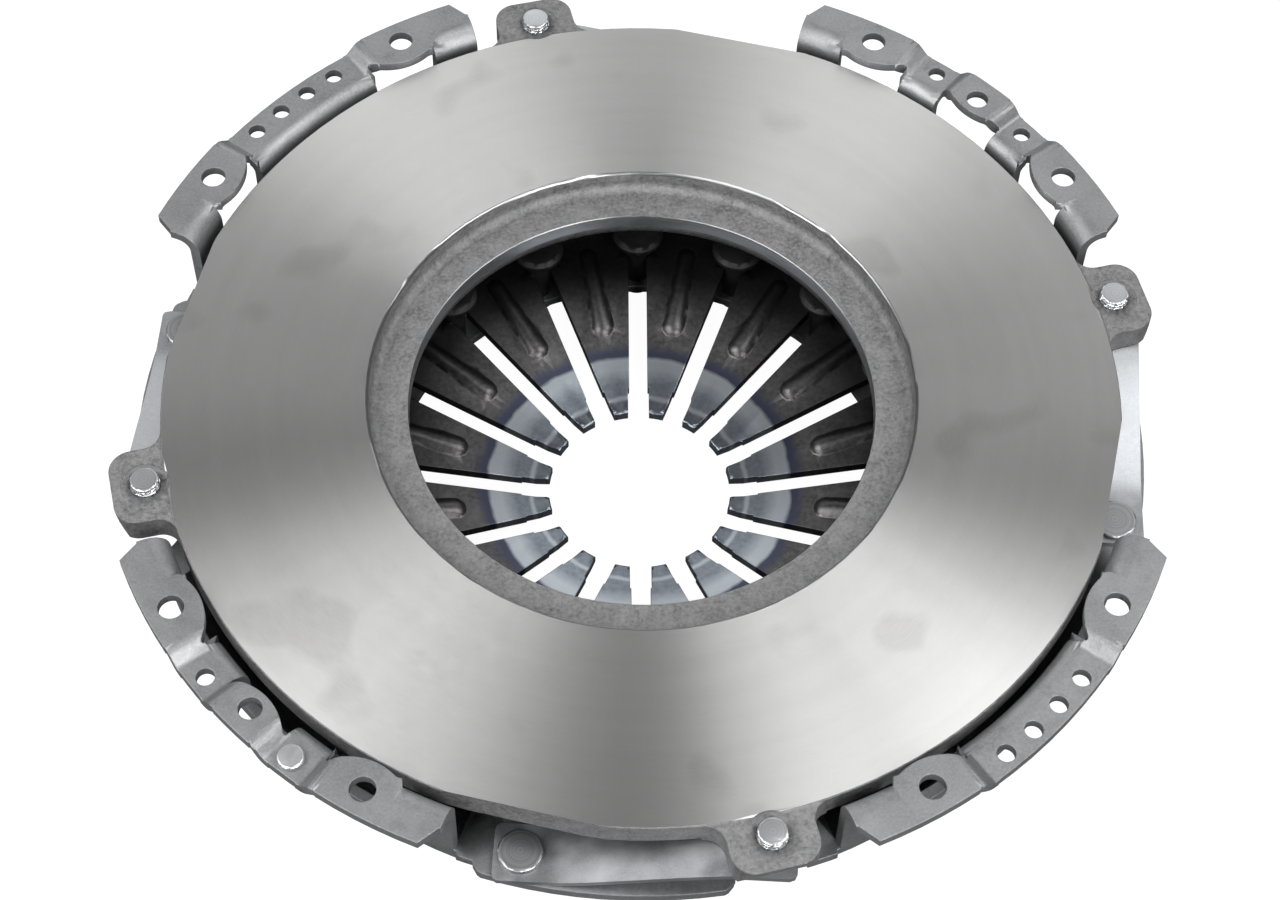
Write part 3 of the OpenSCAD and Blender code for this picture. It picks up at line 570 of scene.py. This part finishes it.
def place_leaf(quarter, layer):
    name = f"strap_{quarter + 1}_leaf_{LEAVES[layer]}"
    turn = Matrix.Rotation(math.radians(90 * quarter), 4, "Z")
    seat = turn @ Matrix.Translation(COVER_RIVET) @ Matrix.Rotation(LEAF_TURN, 4, "Z")
    drop = Matrix.Translation((0, 0, -layer * LEAF_PITCH))
    mesh = first_leaf.data.copy()
    mesh.transform(seat @ drop)
    mesh.materials.clear()
    mesh.materials.append(STRAP_FINISH)
    leaf = bpy.data.objects.new("bent_" + name, mesh)
    bpy.context.scene.collection.objects.link(leaf)
    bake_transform(leaf)
    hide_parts(name)
    return leaf


strap_leaves = [place_leaf(quarter, layer) for quarter in range(4) for layer in range(3)]
bpy.data.objects.remove(first_leaf)
for leaf in strap_leaves:
    leaf.select_set(True)
    bpy.context.view_layer.objects.active = leaf
bpy.ops.object.shade_smooth_by_angle(angle=LEAF_SMOOTH_BELOW)
bpy.ops.object.select_all(action="DESELECT")
print("leaves:", len(strap_leaves))

# %% [markdown]
# ## Rings and rivets
# The pivot rings are drawn wire and the sixteen pivot rivets are plain steel. Their colour is painted
# shade: they sit deep under the plate, so both are painted near black. The balance rivet is zinc
# plated. The heads of the strap rivets and the lug rivets carry turning marks, which are rings round
# each rivet's own centre, so the finish folds the four quarters of the clutch into one.

# %% Finishes of the small steel pieces


def plain_steel(name, dark, light, roughness, grain_mm):
    f = Finish(name, metallic=0.95)
    grain = f.noise(grain_mm, detail=3, rough=0.6)
    smears = f.noise(grain_mm * 9, detail=2)
    base = f.mix(f.spread(smears, 0.35, 0.65), dark, light)
    bright = tuple(min(1.0, channel * 1.2) for channel in light)
    f.colour(f.mix(f.spread(grain, 0.45, 0.75, 0.0, 0.5), base, bright))
    f.join(f.spread(grain, 0.3, 0.7, roughness - 0.06, roughness + 0.08), f.shader.inputs["Roughness"])
    f.relief(grain, 0.006, edge_mm=0.35)
    return f.material


def head_distance(f, centre_radius, centre_angle):
    """Distance from the nearest of four rivet centres, one in each quarter of the clutch."""
    radius, angle, _ = f.polar()
    turned = f.math("ADD", angle, math.radians(45 - centre_angle))
    folded = f.math("SUBTRACT", f.math("FLOORED_MODULO", turned, math.pi / 2), math.pi / 4)
    outward = f.math("SUBTRACT", f.math("MULTIPLY", radius, f.math("COSINE", folded)), centre_radius)
    sideways = f.math("MULTIPLY", radius, f.math("SINE", folded))
    square = f.math("ADD", f.math("MULTIPLY", outward, outward), f.math("MULTIPLY", sideways, sideways))
    return f.math("SQRT", square)


def turned_head(name, rivet, dark, light, roughness):
    f = Finish(name, metallic=1.0, roughness=roughness)
    marks = f.add("ShaderNodeCombineXYZ")
    centre_angle = math.degrees(math.atan2(rivet.y, rivet.x))
    f.join(head_distance(f, rivet.length, centre_angle), marks.inputs["X"])
    rings = f.noise(0.7, detail=3, rough=0.6, source=marks.outputs[0])
    f.colour(f.mix(f.spread(rings, 0.35, 0.65), dark, light))
    f.relief(rings, 0.03)
    return f.material


# Painted shade: the pivot rings and rivets sit deep under the plate, so their steel is painted near
# black.
wire = plain_steel("shaded_drawn_wire", (0.02, 0.02, 0.021), (0.04, 0.04, 0.042), 0.42, 1.5)
dress("pivot_ring_front", "front_wire_ring", "cover", "wire_steel", wire)
dress("pivot_ring_rear", "rear_wire_ring", "cover", "wire_steel", wire)
plain = plain_steel("shaded_pivot_rivet_steel", (0.02, 0.02, 0.021), (0.04, 0.04, 0.041), 0.6, 1.2)
dress("pivot_rivets", "sixteen_pivot_rivets", "cover", "rivet_dark", plain)
turned = turned_head("turned_rivet_steel", COVER_RIVET, (0.27, 0.275, 0.28), (0.43, 0.435, 0.44), 0.36)
dress("strap_rivets", "four_strap_rivets", "cover", "rivet_steel", turned)
bright = turned_head("bright_zinc_heads", LUG_RIVET, (0.42, 0.435, 0.45), (0.58, 0.595, 0.61), 0.34)
dress("lug_rivets", "four_lug_rivets", "plate", "rivet_zinc", bright)
zinc = plain_steel("zinc_plate", (0.46, 0.475, 0.49), (0.58, 0.595, 0.61), 0.36, 0.6)
dress("balance_rivet", "balance_rivet_head", "cover", "rivet_zinc", zinc)
print("materials:", len(bpy.data.materials))

# %% [markdown]
# ## Floor and light
# The photograph is cut out on white. The floor and the world are white to the camera only, and the
# floor still takes a faint shadow. The floor adds its glow to a dark paint: the glow reaches only the
# camera, and the paint is what the shadow falls on.

# %% Floor
FLOOR_LEVEL = cad_box[0][2] - 0.2 * MM
FLOOR_SIZE = 12
FLOOR_PAINT = 0.10
FLOOR_GLOW = 0.97


def white_floor():
    material = bpy.data.materials.new("white_floor")
    material.use_nodes = True
    tree = material.node_tree
    tree.nodes.clear()
    output = tree.nodes.new("ShaderNodeOutputMaterial")
    total = tree.nodes.new("ShaderNodeAddShader")
    paint = tree.nodes.new("ShaderNodeBsdfDiffuse")
    paint.inputs["Color"].default_value = (FLOOR_PAINT, FLOOR_PAINT, FLOOR_PAINT, 1)
    glow = tree.nodes.new("ShaderNodeEmission")
    path = tree.nodes.new("ShaderNodeLightPath")
    share = tree.nodes.new("ShaderNodeMath")
    share.operation = "MULTIPLY"
    share.inputs[1].default_value = FLOOR_GLOW
    tree.links.new(path.outputs["Is Camera Ray"], share.inputs[0])
    tree.links.new(share.outputs[0], glow.inputs["Strength"])
    tree.links.new(glow.outputs[0], total.inputs[0])
    tree.links.new(paint.outputs[0], total.inputs[1])
    tree.links.new(total.outputs[0], output.inputs["Surface"])
    return material


bpy.ops.mesh.primitive_plane_add(size=FLOOR_SIZE, location=(0, 0, FLOOR_LEVEL))
floor = bpy.context.object
floor.name = "floor"
floor.data.materials.append(white_floor())
print("floor at", round(FLOOR_LEVEL / MM, 1), "mm")

# %% [markdown]
# Eleven soft lamps stand round the object. On a ground face each lamp draws a fan of light, so where
# the lamps stand sets where the bright and dark sectors lie. Their strengths were first fitted to the
# sectors of the photograph and then trimmed. The world gives only a weak fill, which keeps the
# dark sectors dark.

# %% World and lamps
WORLD_FILL = 0.04


def white_world(fill):
    world = bpy.data.worlds.new("white_world")
    bpy.context.scene.world = world
    world.use_nodes = True
    tree = world.node_tree
    background = tree.nodes["Background"]
    background.inputs["Color"].default_value = (1, 1, 1, 1)
    path = tree.nodes.new("ShaderNodeLightPath")
    strength = tree.nodes.new("ShaderNodeMapRange")
    strength.inputs["To Min"].default_value = fill
    strength.inputs["To Max"].default_value = 1.0
    tree.links.new(path.outputs["Is Camera Ray"], strength.inputs["Value"])
    tree.links.new(strength.outputs["Result"], background.inputs["Strength"])


LAMP_DISTANCE = 1.6
# Name, azimuth and elevation in degrees, width and height in metres, power in watts
LAMPS = (
    ("right_high", 0, 65, 0.8, 1.0, 8.0),
    ("right", 0, 45, 0.8, 1.2, 8.5),
    ("left_high", 180, 65, 0.8, 1.0, 3.0),
    ("left", 180, 45, 0.8, 1.2, 8.5),
    ("left_low", 180, 25, 0.8, 1.4, 3.4),
    ("left_front", 210, 45, 0.8, 1.2, 11.0),
    ("front_left_low", 240, 27, 0.9, 1.5, 12.5),
    ("front_right_low", 300, 27, 0.9, 1.5, 26.0),
    ("back_left", 120, 27, 1.2, 1.5, 3.3),
    ("back", 90, 27, 1.2, 1.5, 4.6),
    ("back_right", 60, 30, 1.2, 1.5, 3.8),
)


def lamp(name, azimuth, elevation, width, height, power):
    data = bpy.data.lights.new(name, "AREA")
    data.shape = "ELLIPSE"
    data.size = width
    data.size_y = height
    data.energy = power
    light = bpy.data.objects.new(name, data)
    flat = LAMP_DISTANCE * math.cos(math.radians(elevation))
    level = LAMP_DISTANCE * math.sin(math.radians(elevation))
    turn = math.radians(azimuth)
    light.location = (flat * math.cos(turn), flat * math.sin(turn), level)
    light.rotation_euler = (-light.location).to_track_quat("-Z", "Y").to_euler()
    bpy.context.scene.collection.objects.link(light)


white_world(WORLD_FILL)
for settings in LAMPS:
    lamp(*settings)
bpy.context.scene.view_settings.view_transform = "Standard"
print("lamps:", len(bpy.data.lights))
